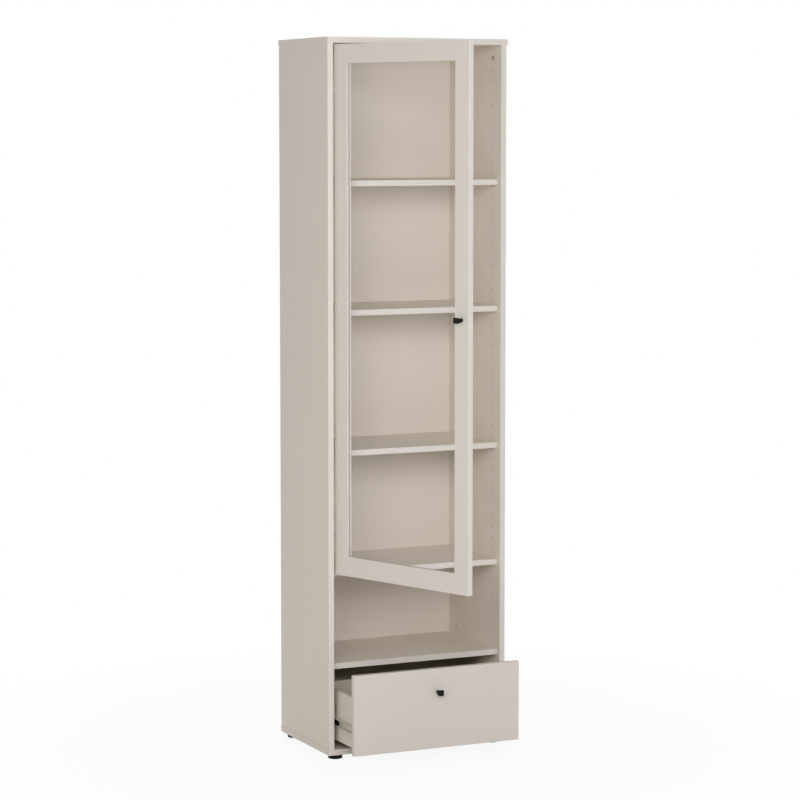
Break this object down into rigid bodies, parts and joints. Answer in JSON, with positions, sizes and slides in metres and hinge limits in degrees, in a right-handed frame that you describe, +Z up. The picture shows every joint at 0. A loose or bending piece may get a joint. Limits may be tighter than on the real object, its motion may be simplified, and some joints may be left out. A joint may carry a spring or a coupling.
{
  "type": "bookcase",
  "caption": "Tall narrow bookcase with shelves behind a framed glass door, an open niche and a drawer on ball-bearing slides, standing on round glides.",
  "frame": {"origin": "on the floor, under the middle of the case's width and of its sides' depth", "axes": "+X to the right seen from the front, +Y to the back, +Z up"},
  "size_m": [0.543, 0.7983, 1.974],
  "materials": {
    "melamine": "matte greige melamine on 16 mm particle board",
    "back_board": "matte greige foil on 3 mm fibreboard",
    "drawer_board": "matte grey-beige foil",
    "steel": "zinc-plated or nickel-plated",
    "zinc": "cast zinc, dull",
    "black_plastic": "matte",
    "black_metal": "satin black",
    "clear_glass": "clear float glass",
    "gasket": "soft greige lip"
  },
  "bodies": {
    "carcass": {"top_panel": "melamine", "bottom_panel": "melamine", "left_side": "melamine", "right_side": "melamine", "back_panel": "back_board", "fixed_shelf": "melamine", "drawer_divider": "melamine", "lower_shelf": "melamine", "middle_shelf": "melamine", "upper_shelf": "melamine", "shelf_pins": "steel", "fixing_pins": "steel", "cam_locks": "zinc", "cam_bolts": "steel", "slide_bumpers": "black_plastic", "left_slide_outer": "steel", "right_slide_outer": "steel", "hinge_arm_pins": "steel", "hinge_plate_screws": "steel", "front_left_foot": "black_plastic", "rear_left_foot": "black_plastic", "front_right_foot": "black_plastic", "rear_right_foot": "black_plastic", "lower_hinge_plate": "steel", "middle_hinge_plate": "steel", "upper_hinge_plate": "steel", "lower_hinge_arm": "steel", "middle_hinge_arm": "steel", "upper_hinge_arm": "steel"},
    "hinge_links": {"lower_hinge_link": "steel", "middle_hinge_link": "steel", "upper_hinge_link": "steel"},
    "door": {"door_left_stile": "melamine", "door_right_stile": "melamine", "door_bottom_rail": "melamine", "door_top_rail": "melamine", "door_glass": "clear_glass", "door_gasket": "gasket", "door_knob": "black_metal", "door_knob_screw": "steel", "hinge_cup_pins": "steel", "lower_hinge_cup": "steel", "middle_hinge_cup": "steel", "upper_hinge_cup": "steel"},
    "drawer": {"drawer_front": "melamine", "drawer_left_side": "drawer_board", "drawer_right_side": "drawer_board", "drawer_back": "drawer_board", "drawer_bottom": "drawer_board", "drawer_knob": "black_metal", "drawer_knob_screw": "steel", "left_slide_inner": "steel", "right_slide_inner": "steel"},
    "ball_cages": {"left_ball_cage": "steel", "right_ball_cage": "steel", "left_slide_balls": "steel", "right_slide_balls": "steel"}
  },
  "joints": [
    {"name": "hinge_link_pivot", "type": "hinge", "parent": "carcass", "child": "hinge_links", "pos_m": [-0.222, -0.152, 1.2976], "axis": [0, 0, -1], "range_deg": [-7.24, 20.04]},
    {"name": "door_pivot", "type": "hinge", "parent": "hinge_links", "child": "door", "pos_m": [-0.23472, -0.16675, 1.2976], "axis": [0, 0, -1], "range_deg": [-89.83, 32.43]},
    {"name": "drawer_slide", "type": "slide", "parent": "carcass", "child": "drawer", "axis": [0, -1, 0], "range_m": [-0.125, 0.06]},
    {"name": "ball_cage_slide", "type": "slide", "parent": "carcass", "child": "ball_cages", "axis": [0, -1, 0], "range_m": [-0.0625, 0.03]}
  ],
  "couplings": [
    {"joint": "hinge_link_pivot", "follows": "door_pivot", "ratio": -0.223},
    {"joint": "ball_cage_slide", "follows": "drawer_slide", "ratio": 0.5}
  ]
}
